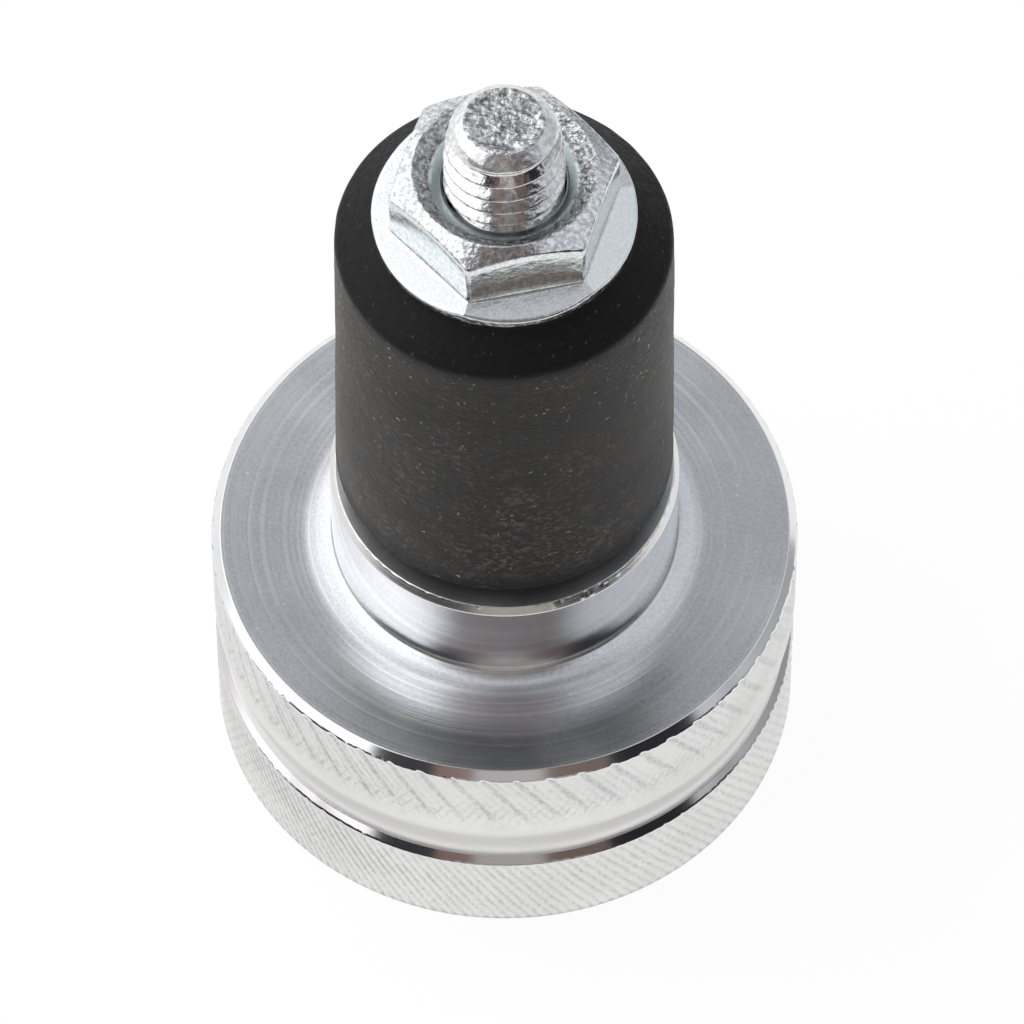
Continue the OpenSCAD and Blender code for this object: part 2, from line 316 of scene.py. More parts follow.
class Nodes:
    """A short way to write a material's nodes."""

    def __init__(self, name):
        self.material = bpy.data.materials.new(name)
        self.material.use_nodes = True
        self.tree = self.material.node_tree
        self.shader = self.tree.nodes["Principled BSDF"]

    def add(self, kind, **settings):
        """A new node with its settings."""
        node = self.tree.nodes.new(kind)
        for key, value in settings.items():
            setattr(node, key, value)
        return node

    def link(self, source, target):
        """Joins an output to an input."""
        self.tree.links.new(source, target)

    def math(self, operation, *items):
        """A sum or the like of numbers and other nodes' outputs."""
        node = self.add("ShaderNodeMath", operation=operation)
        for socket, item in zip(node.inputs, items, strict=False):
            if isinstance(item, (int, float)):
                socket.default_value = item
            else:
                self.link(item, socket)
        return node.outputs[0]

    def place(self):
        """The point on the piece in metres."""
        return self.add("ShaderNodeTexCoord").outputs["Object"]

    def part(self, index):
        """One coordinate of the point on the piece."""
        parts = self.add("ShaderNodeSeparateXYZ")
        self.link(self.place(), parts.inputs[0])
        return parts.outputs[index]

    def radius(self):
        """Distance from the axis, in metres."""
        squares = [self.math("POWER", self.part(i), 2.0) for i in (0, 1)]
        return self.math("SQRT", self.math("ADD", *squares))

    def height(self):
        """Height along the axis, in metres."""
        return self.part(2)

    def noise(self, vector, scale, detail=3.0, roughness=0.55):
        """Noise over a point, its scale in cells per metre."""
        node = self.add("ShaderNodeTexNoise")
        node.inputs["Scale"].default_value = scale
        node.inputs["Detail"].default_value = detail
        node.inputs["Roughness"].default_value = roughness
        self.link(vector, node.inputs["Vector"])
        return node.outputs["Fac"]

    def noise_along(self, value, scale, detail=2.0):
        """Noise over one length, its scale in cells per metre."""
        node = self.add("ShaderNodeTexNoise", noise_dimensions="1D")
        node.inputs["Scale"].default_value = scale
        node.inputs["Detail"].default_value = detail
        node.inputs["Roughness"].default_value = 0.55
        self.link(value, node.inputs["W"])
        return node.outputs["Fac"]

    def stretched(self, scale, turn):
        """The point on the piece, turned (in degrees) and scaled by axis."""
        node = self.add("ShaderNodeMapping")
        node.inputs["Rotation"].default_value = tuple(math.radians(t) for t in turn)
        node.inputs["Scale"].default_value = scale
        self.link(self.place(), node.inputs["Vector"])
        return node.outputs[0]

    def remap(self, source, low, high, to_low=0.0, to_high=1.0, kind="LINEAR"):
        """A value taken from one range to another and held at its ends."""
        node = self.add("ShaderNodeMapRange", interpolation_type=kind)
        self.link(source, node.inputs["Value"])
        for key, number in (("From Min", low), ("From Max", high), ("To Min", to_low), ("To Max", to_high)):
            node.inputs[key].default_value = number
        return node.outputs["Result"]

    def between(self, low, high, to_low=0.0, to_high=1.0, axis=2, kind="LINEAR"):
        """A value that changes between two places along an axis, given in millimetres."""
        return self.remap(self.part(axis), low * MM, high * MM, to_low, to_high, kind)

    def specks(self, scale, size, share):
        """A mask of round specks: cells per metre, size in cells, share of the cells that hold one."""
        node = self.add("ShaderNodeTexVoronoi")
        node.inputs["Scale"].default_value = scale
        self.link(self.place(), node.inputs["Vector"])
        parts = self.add("ShaderNodeSeparateXYZ")
        self.link(node.outputs["Color"], parts.inputs[0])
        held = self.math("LESS_THAN", parts.outputs[0], share)
        reach = self.math("MULTIPLY", parts.outputs[1], size)
        inside = self.math("LESS_THAN", node.outputs["Distance"], reach)
        return self.math("MULTIPLY", self.math("MULTIPLY", held, inside), parts.outputs[2])

    def fibres(self, scale, width, kept):
        """A mask of short curved threads, where a noise crosses its middle and another noise is high."""
        place = self.place()
        line = self.math("ABSOLUTE", self.math("SUBTRACT", self.noise(place, scale, detail=0.0), 0.5))
        thin = self.remap(line, width, width * 0.4)
        here = self.remap(self.noise(place, scale * 2.3, detail=0.0), kept, kept + 0.02)
        return self.math("MULTIPLY", thin, here)

    def blend(self, factor, first, second):
        """A mix of two colours by a factor."""
        node = self.add("ShaderNodeMix", data_type="RGBA")
        self.link(factor, node.inputs["Factor"])
        for key, item in (("A", first), ("B", second)):
            socket = [s for s in node.inputs if s.name == key and s.type == "RGBA"][0]
            if isinstance(item, tuple):
                socket.default_value = (*item, 1.0)
            else:
                self.link(item, socket)
        return [s for s in node.outputs if s.type == "RGBA"][0]

    def bump(self, height, distance_mm, normal=None):
        """A bumped normal, on top of another one where it is given."""
        node = self.add("ShaderNodeBump")
        node.inputs["Distance"].default_value = distance_mm * MM
        self.link(height, node.inputs["Height"])
        if normal is not None:
            self.link(normal, node.inputs["Normal"])
        return node.outputs["Normal"]

    def set(self, **numbers):
        """Sets the shader's own values."""
        for key, number in numbers.items():
            self.shader.inputs[SOCKETS[key]].default_value = number

    def use(self, **sources):
        """Joins outputs to the shader."""
        for key, source in sources.items():
            self.link(source, self.shader.inputs[SOCKETS[key]])

    def tangent_round_axis(self):
        """Stretches the gloss across the rings that a lathe leaves."""
        node = self.add("ShaderNodeTangent", direction_type="RADIAL", axis="Z")
        self.link(node.outputs[0], self.shader.inputs["Tangent"])


# Materials

def darker(tone, share):
    """A colour made darker by a share."""
    return tuple(c * (1 - share) for c in tone)


def turned_material(name, tone, roughness, anisotropic, ring_mm, grain_mm, along_axis, stain_and_highlight=0.06):
    """Bare aluminium off a lathe: fine rings with painted highlights along some of them, faint stains, a
    soft grain and pale specks.
    """
    arc_highlight_tone, speck_tone = (0.95, 0.95, 0.95), (0.92, 0.92, 0.92)
    n = Nodes(name)
    n.set(metallic=1.0, anisotropic=anisotropic)
    n.tangent_round_axis()
    place = n.place()
    along = n.height() if along_axis else n.radius()
    fine = n.noise_along(along, scale=8000.0)
    wide = n.noise_along(along, scale=1200.0)
    rings = n.math("ADD", n.math("MULTIPLY", fine, 0.5), wide)
    grain = n.noise(place, scale=6500.0, detail=2.0, roughness=0.7)
    n.use(normal=n.bump(grain, grain_mm, n.bump(rings, ring_mm)))
    patches = n.noise(place, scale=230.0, detail=2.0)
    n.use(roughness=n.remap(patches, 0.1, 0.9, roughness * 0.8, roughness * 1.2))
    mottle = n.math("ADD", n.math("MULTIPLY", patches, 0.3), n.math("MULTIPLY", grain, 0.7))
    metal = n.blend(n.remap(mottle, 0.35, 0.65), darker(tone, stain_and_highlight * 2), tone)
    # Painted highlight: lighter rings in patches, as the lathe's rings catch the light. The same setting as
    # the stains sets their strength.
    here = n.remap(n.noise(place, scale=110.0, detail=1.0), 0.3, 0.52, 0.0, stain_and_highlight * 5)
    highlight_arcs = n.remap(n.noise_along(along, scale=3400.0, detail=1.0), 0.5, 0.68)
    metal = n.blend(n.math("MULTIPLY", highlight_arcs, here), metal, arc_highlight_tone)
    specks = n.specks(scale=1500.0, size=0.16, share=0.1)
    n.use(colour=n.blend(specks, metal, speck_tone))
    return n.material


def line_mask(n, lines, every, far, near):
    """A mask of every so many lines, 0 beyond far and 1 within near of their middle, both in pitches."""
    return n.remap(n.math("PINGPONG", lines, every / 2), far, near)


def knurled_material():
    """Pressed aluminium: pale and dull, torn along the lines of the knurl and darkened in them by grime and
    by painted shade.
    """
    pale, dull, grime_and_shade_tone = (0.84, 0.84, 0.83), (0.78, 0.78, 0.77), (0.42, 0.43, 0.45)
    n = Nodes("aluminium_knurled")
    n.set(metallic=1.0)
    place = n.place()
    grain = n.noise(place, scale=4200.0, detail=3.0, roughness=0.65)
    turn = n.math("MULTIPLY", n.math("ARCTAN2", n.part(1), n.part(0)), KNURL_COUNT / (2 * math.pi))
    rise = n.math("MULTIPLY", n.height(), 1.0 / (KNURL_LEAD * MM))
    wander = n.math("MULTIPLY", n.math("SUBTRACT", n.noise(place, scale=1500.0, detail=1.0), 0.5), 0.5)
    first = n.math("ADD", n.math("ADD", turn, rise), wander)
    second = n.math("SUBTRACT", n.math("SUBTRACT", turn, rise), wander)
    plain = line_mask(n, first, 1, 0.38, 0.05)
    deep = line_mask(n, first, DEEP_EVERY, 0.6, 0.15)
    cross = line_mask(n, second, 1, 0.3, 0.06)
    pressed = n.remap(n.noise(place, scale=330.0, detail=1.0), 0.35, 0.65, 0.1, 0.7)
    # Painted shade: the plain lines are drawn darker towards the left side.
    pressed = n.math("ADD", pressed, n.between(-5.0, -12.0, 0.0, 0.5, axis=0))
    torn = n.remap(grain, 0.4, 0.62, 0.25, 1.0)
    in_upper = n.between(GROOVE_TOP + 0.1, GROOVE_TOP + 1.5)
    low_down = n.between(12.4, 10.8, 0.15, 0.8)
    above = n.math("MAXIMUM", deep, n.math("MULTIPLY", plain, pressed))
    above = n.math("MULTIPLY", in_upper, n.math("MAXIMUM", above, n.math("MULTIPLY", cross, low_down)))
    in_lower = n.between(GROOVE_START + 0.02, GROOVE_START - 0.1)
    faint_cross = n.math("MULTIPLY", cross, n.math("MULTIPLY", pressed, 0.5))
    below = n.math("MAXIMUM", n.math("MULTIPLY", plain, 0.75), faint_cross)
    below = n.math("MULTIPLY", in_lower, below)
    # Grime and painted shade together: the cut lines are darkened in colour as well as in the bump.
    grime_and_shade = n.math("MULTIPLY", n.math("ADD", above, below), torn)
    height = n.math("SUBTRACT", n.math("MULTIPLY", grain, 0.5), grime_and_shade)
    n.use(normal=n.bump(height, 0.03), roughness=n.remap(grain, 0.3, 0.7, 0.36, 0.5))
    patches = n.remap(n.noise(place, scale=260.0, detail=2.0), 0.35, 0.7)
    n.use(colour=n.blend(n.math("MULTIPLY", grime_and_shade, 0.55), n.blend(patches, pale, dull), grime_and_shade_tone))
    return n.material


def rubber_material():
    """Moulded rubber: almost black, with a faint bloom, rubbed streaks, dust and lint, and painted shade
    towards the foot.
    """
    black, worn, taper_black_and_foot_shade = (0.006, 0.005, 0.0045), (0.250, 0.209, 0.172), (0.0075, 0.0072, 0.0078)
    dust_tone = (0.40, 0.38, 0.34)
    low, high = rubber_low[2], rubber_high[2]
    n = Nodes("rubber_black")
    n.set(metallic=0.0, ior=1.5)
    leather = n.noise(n.stretched((1.0, 1.0, 1.5), (0, 14, 0)), scale=2900.0, detail=4.0, roughness=0.7)
    streaks = n.noise(n.stretched((1.0, 1.0, 1.8), (0, 10, 0)), scale=700.0, detail=4.0, roughness=0.65)
    mottle = n.noise(n.place(), scale=170.0, detail=3.0, roughness=0.6)
    bloom = n.math("MULTIPLY", n.remap(streaks, 0.3, 0.7, 0.3, 1.0), n.remap(leather, 0.47, 0.66))
    bloom = n.math("MULTIPLY", bloom, n.between(high * 0.85, low, 0.35, 1.0))
    bloom = n.math("MULTIPLY", bloom, n.remap(mottle, 0.35, 0.65, 0.3, 1.0))
    # The top taper is plain black without the bloom. Towards the foot the side is painted plain black too,
    # as shade. Both get less specular.
    on_taper = n.between(high - 2.4, high - 1.3, kind="SMOOTHSTEP")
    foot_shade = n.between(low + 3.1, low + 1.8)
    taper_and_foot_shade = n.math("MAXIMUM", on_taper, foot_shade)
    body = n.blend(taper_and_foot_shade, n.blend(bloom, black, worn), taper_black_and_foot_shade)
    upper = n.between(26.0, 38.0, 0.25, 1.0)
    dust = n.math("MULTIPLY", n.specks(scale=2600.0, size=0.22, share=0.6), upper)
    lint = n.fibres(scale=1300.0, width=0.01, kept=0.68)
    loose = n.math("MULTIPLY", n.math("MAXIMUM", dust, lint), n.remap(on_taper, 0.0, 1.0, 0.8, 0.1))
    n.use(colour=n.blend(loose, body, dust_tone))
    n.use(roughness=n.remap(leather, 0.3, 0.7, 0.36, 0.6))
    n.use(specular=n.remap(taper_and_foot_shade, 0.0, 1.0, 0.27, 0.15))
    n.use(normal=n.bump(leather, 0.06, n.bump(streaks, 0.05)))
    return n.material


def zinc_material(name, tone, dark, roughness, pit_mm, pit_scale):
    """Bright zinc plate on steel, with the pits and waves of the blank below, its colour painted darker in
    the pits as shade.
    """
    n = Nodes(name)
    n.set(metallic=1.0)
    pits = n.noise(n.place(), pit_scale, detail=3.0, roughness=0.6)
    waves = n.noise(n.place(), pit_scale / 5, detail=2.0, roughness=0.5)
    n.use(normal=n.bump(pits, pit_mm, n.bump(waves, pit_mm * 2)))
    n.use(roughness=n.remap(waves, 0.3, 0.7, roughness * 0.7, roughness * 1.3))
    # Painted shade: the colour goes to the darker tone in the pits.
    n.use(colour=n.blend(n.remap(pits, 0.38, 0.62), dark, tone))
    return n.material


# Turned head

def spigot_root():
    """The soft rise of the shoulder, from the spigot's foot outwards."""
    shares = [(i / ROOT_STEPS) ** ROOT_CROWDING for i in range(ROOT_STEPS + 1)]
    return [(SPIGOT_R + ROOT_RUN * t, HEAD_LEN + ROOT_RISE * (1 - t) ** ROOT_POWER) for t in shares]


def groove_cove():
    """The groove from the knurl's foot down to its lower wall, without a kink at either end."""
    floor_r = CREST_R - GROOVE_DEPTH
    low_z = GROOVE_START + GROOVE_DEPTH + GROOVE_ROOT * math.tan(math.radians(22.5))
    shares = [i / COVE_STEPS for i in range(COVE_STEPS + 1)]
    run = low_z - GROOVE_TOP
    cove = [(CREST_R - GROOVE_DEPTH * (3 - 2 * t) * t * t, GROOVE_TOP + run * t) for t in shares]
    return cove + arc((floor_r + GROOVE_ROOT, low_z), GROOVE_ROOT, 180, 225, 5)[1:]


def head_outline(row_step):
    """The head's whole section, from the hole's edge at the spigot's end round to that edge again."""
    end_edge = (SPIGOT_R - SPIGOT_EDGE_RUN, SPIGOT_TOP)
    wall_top = (SPIGOT_R, SPIGOT_TOP - SPIGOT_EDGE_FALL)
    root = spigot_root()
    shoulder_edge = (CREST_R - SHOULDER_CHAMFER, HEAD_LEN)
    knurl_top = (CREST_R, HEAD_LEN - SHOULDER_CHAMFER)
    cove = groove_cove()
    low_crest = (CREST_R, GROOVE_START)
    foot_edge = (CREST_R, END_CHAMFER)
    face_edge = (CREST_R - END_CHAMFER, 0.0)
    mouth = (COUNTERBORE_R + MOUTH_CHAMFER, 0.0)
    bore_edge = (COUNTERBORE_R, MOUTH_CHAMFER)
    seat_edge = (COUNTERBORE_R, COUNTERBORE_DEPTH)
    seat_hole = (HOLE_R, COUNTERBORE_DEPTH)
    outline = stretch([(HOLE_R, SPIGOT_TOP), end_edge], "end", 3.0, EDGE)
    outline += stretch([end_edge, wall_top], "edge", 0.08, EDGE)
    outline += stretch([wall_top, root[0]], "bright", 1.2, EDGE)
    outline += stretch(root, "turned", 1.0)
    outline += stretch([root[-1], shoulder_edge], "turned", 1.2, EDGE)
    outline += stretch([shoulder_edge, knurl_top], "bright", 0.2, EDGE)
    outline += stretch([knurl_top, (CREST_R, GROOVE_TOP)], "knurl", row_step)
    outline += stretch(cove, "satin", 1.0)
    outline += stretch([cove[-1], low_crest], "shaded groove wall", 0.2, EDGE)
    outline += stretch([low_crest, foot_edge], "knurl", row_step)
    outline += stretch([foot_edge, face_edge], "bright", 0.4, EDGE)
    outline += stretch([face_edge, mouth], "turned", 3.0, EDGE)
    outline += stretch([mouth, bore_edge], "bright", 1.0, EDGE)
    outline += stretch([bore_edge, seat_edge], "bright", 12.0, EDGE)
    outline += stretch([seat_edge, seat_hole], "turned", 3.0, EDGE)
    outline += stretch([seat_hole, (HOLE_R, SPIGOT_TOP)], "bright", 12.0, EDGE)
    return outline


def line_depth(lines, strengths, width):
    """Depth of a family of cuts, from 0 on the flats to each line's own strength in its middle."""
    index = np.round(lines)
    away = np.abs(lines - index) * 2
    return strengths[index.astype(int) % len(strengths)] * (1 - away / width).clip(0, 1)


def knurl_cut(column, z, row_step):
    """Depth of the knurl at a column and height, from 0 on a flat to 1 in the deepest lines."""
    first = (column + z / row_step) / KNURL_STEPS
    second = (column - z / row_step) / KNURL_STEPS
    plain = random_source.uniform(*PLAIN_LINES, KNURL_COUNT)
    crossing = random_source.uniform(*CROSSING_LINES, KNURL_COUNT)
    deep = random_source.uniform(*DEEP_LINES, KNURL_COUNT // DEEP_EVERY)
    along = line_depth(first, plain, LINE_WIDTH)
    lower = np.maximum(along, line_depth(second, crossing, LINE_WIDTH))
    lower = lower * ((GROOVE_START - z) / LOWER_FADE).clip(LOWER_START_SHARE, 1)
    deep_width = DEEP_LINE_WIDTH / DEEP_EVERY
    steep = line_depth(first / DEEP_EVERY, deep, deep_width)
    low_down = ((CROSSING_TOP - z) / CROSSING_FADE).clip(0, 1)
    across = UPPER_CROSSING_SHARE * low_down * line_depth(second / DEEP_EVERY, deep, deep_width / 2)
    upper = np.maximum(np.maximum(steep, across), UPPER_PLAIN_SHARE * along)
    upper = upper * ((z - GROOVE_TOP) / UPPER_FADE).clip(0, 1)
    return np.where(z > GROOVE_TOP - SLACK, upper, lower)


def burrs(column, z, row_step):
    """How far the knurl's top edge is torn out and up, most where a deep line ends."""
    steps_off = (column + z / row_step + KNURL_STEPS / 2) % (KNURL_STEPS * DEEP_EVERY)
    by_line = np.where(steps_off < KNURL_STEPS, 1.0, BURR_BETWEEN_SHARE)
    out = by_line * random_source.uniform(0.0, BURR_OUT, z.shape)
    return out, out - BURR_SINK * random_source.random(z.shape)


def nick_push(azimuth, z):
    """How far the handling marks push the spigot's surface out at a place."""
    push = np.zeros_like(z)
    for centre, height, width, amount in NICKS:
        across = (azimuth - math.radians(centre) + math.pi) % (2 * math.pi) - math.pi
        push += amount * np.exp(-((across * SPIGOT_R) ** 2 + (z - height) ** 2) / width ** 2)
    return push


def make_head(materials):
    """The knurled head with its spigot, groove, shoulder and stepped hole, as one closed mesh."""
    columns = KNURL_COUNT * KNURL_STEPS
    row_step = KNURL_LEAD / KNURL_STEPS
    outline = head_outline(row_step)
    r, z, angle = rings_of(outline, columns)
    column = np.arange(columns)[None, :] * np.ones((len(outline), 1))
    in_knurl = in_zone(outline, "knurl")
    torn = random_source.uniform(0, TORN_DEPTH, r.shape)
    r = r - np.where(in_knurl, KNURL_DEPTH * knurl_cut(column, z, row_step) + torn, 0)
    top_row = in_knurl & (z > HEAD_LEN - SHOULDER_CHAMFER - SLACK)
    burr_out, burr_up = burrs(column, z, row_step)
    r = r + np.where(top_row, burr_out, 0)
    z = z + np.where(top_row, burr_up, 0)
    on_spigot = (r > SPIGOT_R - SPIGOT_EDGE_RUN - SLACK) & (r < SPIGOT_R + 0.1) & (z > HEAD_LEN + 0.1)
    r = r + np.where(on_spigot, nick_push(angle, z), 0)
    ragged = RAGGED_DEPTH * wrapped_noise(angle, z, cells_round=160, cell_along=0.3)
    from_edge = np.hypot(r - SPIGOT_R + SPIGOT_EDGE_RUN, z - SPIGOT_TOP)
    at_end_edge = (from_edge < RAGGED_REACH) & (z > SPIGOT_TOP - RAGGED_REACH)
    z = z - np.where(at_end_edge, np.abs(ragged), 0)
    face_materials = zone_materials(outline, materials, columns)
    faces = ring_faces(len(outline), columns, closed=True)
    head = new_piece("knurled_head", turned_points(r, z, angle), faces,
                     list(materials.values()), face_materials)
    # The knurl's facets stay flat
    sharp = head.data.attributes.new("sharp_face", "BOOLEAN", "FACE")
    sharp.data.foreach_set("value", face_materials == list(materials).index("knurl"))
    return head


# Rubber

def rubber_rounding(side_r, end_r, end_z, inwards):
    """The rounding between side and taper, from low to high. Inwards is 1 at the foot, -1 at the top."""
    angle = math.degrees(math.atan((side_r - end_r) / RUBBER_TAPER_H))
    leg = RUBBER_ROUNDING * math.tan(math.radians(angle / 2))
    centre = (side_r - RUBBER_ROUNDING, end_z + inwards * RUBBER_TAPER_H + inwards * leg)
    start, end = (-angle, 0) if inwards > 0 else (0, angle)
    return arc(centre, RUBBER_ROUNDING, start, end, 4)


def make_rubber(material):
    """The sleeve with its tapered ends, softly uneven as moulded rubber is."""
    columns = 288
    low, high = rubber_low[2], rubber_high[2]
    foot_r = rubber_high[0]
    end_r = nut_high[0] - RUBBER_END_INSET
    low_edge = rubber_rounding(foot_r, end_r, low, 1)
    high_edge = rubber_rounding(foot_r - RUBBER_NARROWING, end_r, high, -1)
    outline = stretch([(HOLE_R, low), (end_r, low)], "end", 2.0, EDGE)
    outline += stretch([(end_r, low), low_edge[0]], "side", 0.3, EDGE)
    outline += stretch(low_edge + high_edge, "side", 0.4)
    outline += stretch([high_edge[-1], (end_r, high)], "side", 0.3, EDGE)
    outline += stretch([(end_r, high), (HOLE_R, high)], "end", 2.0, EDGE)
    outline += stretch([(HOLE_R, high), (HOLE_R, low)], "bore", 12.0, EDGE)
    r, z, angle = rings_of(outline, columns)
    swell = RUBBER_SWELL * wrapped_noise(angle, z, cells_round=9, cell_along=2.5)
    ripple = RUBBER_RIPPLE * wrapped_noise(angle, z, cells_round=70, cell_along=0.7)
    r = r + np.where(in_zone(outline, "side"), swell + ripple - RUBBER_SWELL, 0)
    faces = ring_faces(len(outline), columns, closed=True)
    return new_piece("rubber_sleeve", turned_points(r, z, angle), faces, [material])


# Screw

def thread_radius(z, turn, top):
    """Radius of the rolled thread: full crests low down, shorter ones towards the tapered end."""
    phase = (z / THREAD_PITCH - FRONT_CREST - (turn / (2 * math.pi) - FRONT_TURN)) % 1.0
    away = np.abs(phase - 0.5) * 2
    depth = ((1 - away - CREST_FLAT) / (1 - CREST_FLAT - ROOT_FLAT)).clip(0, 1)
    short = SHORT_CREST_BY * ((z - (top - SHORT_CREST_RUN)) / SHORT_CREST_RUN).clip(0, 1) ** 2
    crest = THREAD_R - short
    root = THREAD_R - THREAD_DEPTH
    end_cone = THREAD_END_R + END_CONE_SLOPE * (top - z)
    return np.minimum(crest - (crest - np.minimum(root, crest)) * depth, end_cone)


def screw_end_outline(top):
    """The rough end face, from its middle out: a small boss, a ring-shaped dip and a low lip."""
    boss = [(CAP_R, top - 0.1), (0.22, top - 0.08)]
    ring = [(0.36, top - 0.2), (0.52, top - 0.12), (0.72, top - 0.2)]
    dip = [(1.2, top - 0.17), (1.55, top - 0.12)]
    lip = [(1.72, top - 0.02), (THREAD_END_R - 0.08, top), (THREAD_END_R, top - 0.03)]
    return stretch(boss + ring + dip + lip, "point", 0.06)


def screw_thread_outline(top):
    """Rows of the seen end and of the first turns in the nut. The thread is cut into them later."""
    low = nut_high[2] - THREAD_HIDDEN
    start = top - 0.05
    rows = int((top - low) * THREAD_ROWS_PER_MM)
    levels = [start - (start - low) * i / rows for i in range(rows + 1)]
    return [(THREAD_R, level, "cone" if level > top - END_CONE_H else "thread") for level in levels]


def screw_head_outline():
    """The plain shank and the socket head, down to the edge of the socket."""
    bottom = screw_low[2]
    head_r = screw_high[0]
    seat = bottom + SCREW_HEAD_H
    low_edge = bottom + SCREW_HEAD_ROUNDING
    flat_r = head_r - SCREW_HEAD_ROUNDING
    shank_top = nut_high[2] - THREAD_HIDDEN - 0.1
    outline = [(SHANK_R, shank_top, "thread"), (SHANK_R, seat + EDGE, "thread"), (SHANK_R, seat, "head")]
    outline += stretch([(SHANK_R + EDGE, seat), (head_r, seat), (head_r, low_edge)], "head", 6.0, EDGE)
    outline += stretch(arc((flat_r, low_edge), SCREW_HEAD_ROUNDING, 0, -90, 5), "head", 1.0)
    socket_edge = (SOCKET_FLATS / 2 / math.cos(TWELFTH) + SOCKET_CHAMFER, bottom)
    return outline + stretch([(flat_r, bottom), socket_edge], "head", 6.0, EDGE)


def screw_socket_outline():
    """The socket's wall and its pointed floor. Its six sides are pressed into the rows later."""
    bottom = screw_low[2]
    corner_r = SOCKET_FLATS / 2 / math.cos(TWELFTH)
    floor_z = bottom + SOCKET_DEPTH
    wall = stretch([(corner_r, bottom + SOCKET_CHAMFER), (corner_r, floor_z)], "head", 6.0, EDGE)
    return wall + [(corner_r, floor_z, "head"), (CAP_R, floor_z + SOCKET_POINT, "head")]


def make_screw(materials):
    """The screw with its helical thread, rough point and socket head."""
    columns = 240
    top = screw_high[2]
    end, thread = screw_end_outline(top), screw_thread_outline(top)
    head, socket = screw_head_outline(), screw_socket_outline()
    outline = end + thread + head + socket
    r, z, angle = rings_of(outline, columns)
    run = slice(len(end), len(end) + len(thread))
    r[run] = thread_radius(z[run], angle[run], top)
    rough = THREAD_ROUGHNESS * wrapped_noise(angle[run], z[run], cells_round=60, cell_along=0.12)
    r[run] += rough - THREAD_ROUGHNESS
    hexagon = math.cos(TWELFTH) / np.cos((angle % SIXTH) - TWELFTH)
    sides = slice(-len(socket), -1)
    r[sides] *= hexagon[sides]
    face = slice(0, len(end))
    x, y = r[face] * np.cos(angle[face]), r[face] * np.sin(angle[face])
    pits = 0.06 * plane_noise(x, y, cell=0.3) + 0.04 * plane_noise(x, y, cell=0.12)
    z[face] += np.minimum(pits, top - z[face]) * (1 - (r[face] / THREAD_END_R) ** 6)
    last = (len(outline) - 1) * columns
    caps = [list(range(columns))[::-1], [last + i for i in range(columns)]]
    names = list(materials)
    ring_materials = zone_materials(outline[:-1], materials, columns).tolist()
    cap_materials = [names.index("point"), names.index("head")]
    return new_piece("socket_screw", turned_points(r, z, angle),
                     ring_faces(len(outline), columns, closed=False) + caps,
                     list(materials.values()), ring_materials + cap_materials)


# Nut

def even(steps, near):
    """Shares of a run in even steps, its first and last loop drawn a little inwards."""
    return [near, *np.linspace(0, 1, steps + 1)[1:-1], 1 - near]


def row_run(start, end, zone, shares):
    """Rows between two points of the section, whose radius and height may differ by column."""
    (r0, z0), (r1, z1) = start, end
    return [(r0 + (r1 - r0) * t, z0 + (z1 - z0) * t, zone) for t in shares]


def nut_rows(from_flat):
    """The nut's section from the bore over the top, the flats and the flange to its underside."""
    base, top = nut_low[2], nut_high[2]
    flange_r = nut_high[0]
    corner_r = NUT_FLATS / 2 / math.cos(TWELFTH) - NUT_CORNER_CUT
    flat_r = np.minimum(NUT_FLATS / 2 / np.cos(from_flat), corner_r)

    def flange_z(r):
        return base + FLANGE_H - math.tan(FLANGE_SLOPE) * (r * np.cos(from_flat) - NUT_FLATS / 2)

    bore_top = (NUT_BORE_R, top - NUT_DISH_DEPTH - NUT_ENTRY_FALL)
    dish_edge = (NUT_DISH_R, top - NUT_DISH_DEPTH)
    ridge = (NUT_RIDGE_R, top)
    flat_top = (flat_r, top - (flat_r - NUT_RIDGE_R) * math.tan(NUT_CONE))
    flat_foot = (flat_r, flange_z(flat_r))
    rim_top = (flange_r, flange_z(flange_r))
    rim_start = (flange_r, rim_top[1] - 0.02)
    rim_foot = (flange_r, base + FLANGE_RIM_CHAMFER)
    base_edge = (flange_r - FLANGE_RIM_CHAMFER, base)
    under = [(flange_r - 0.2, base), (NUT_DISH_R + 0.05, base)]
    countersink = [(NUT_DISH_R, base + 0.05), (NUT_BORE_R, base + 0.65)]
    rows = row_run((NUT_BORE_R, base + NUT_BORE_FROM), bore_top, "entry", (0.0, 0.5, 0.98))
    rows += row_run(bore_top, dish_edge, "entry", even(4, 0.1))
    rows += row_run(dish_edge, ridge, "stamped", even(12, 0.03))
    rows += row_run(ridge, flat_top, "chamfer", even(8, 0.05))
    rows += row_run(flat_top, flat_foot, "flat", even(6, 0.02))
    rows += row_run(flat_foot, rim_top, "flange", even(6, 0.03))
    rows += row_run(rim_start, rim_foot, "rim", even(4, 0.08))
    rows += row_run(rim_foot, base_edge, "rim", (0.3, 0.9))
    rows += row_run(*under, "flat", (0.0, 1.0))
    rows += row_run(*countersink, "flat", (0.0, 1.0))
    return rows


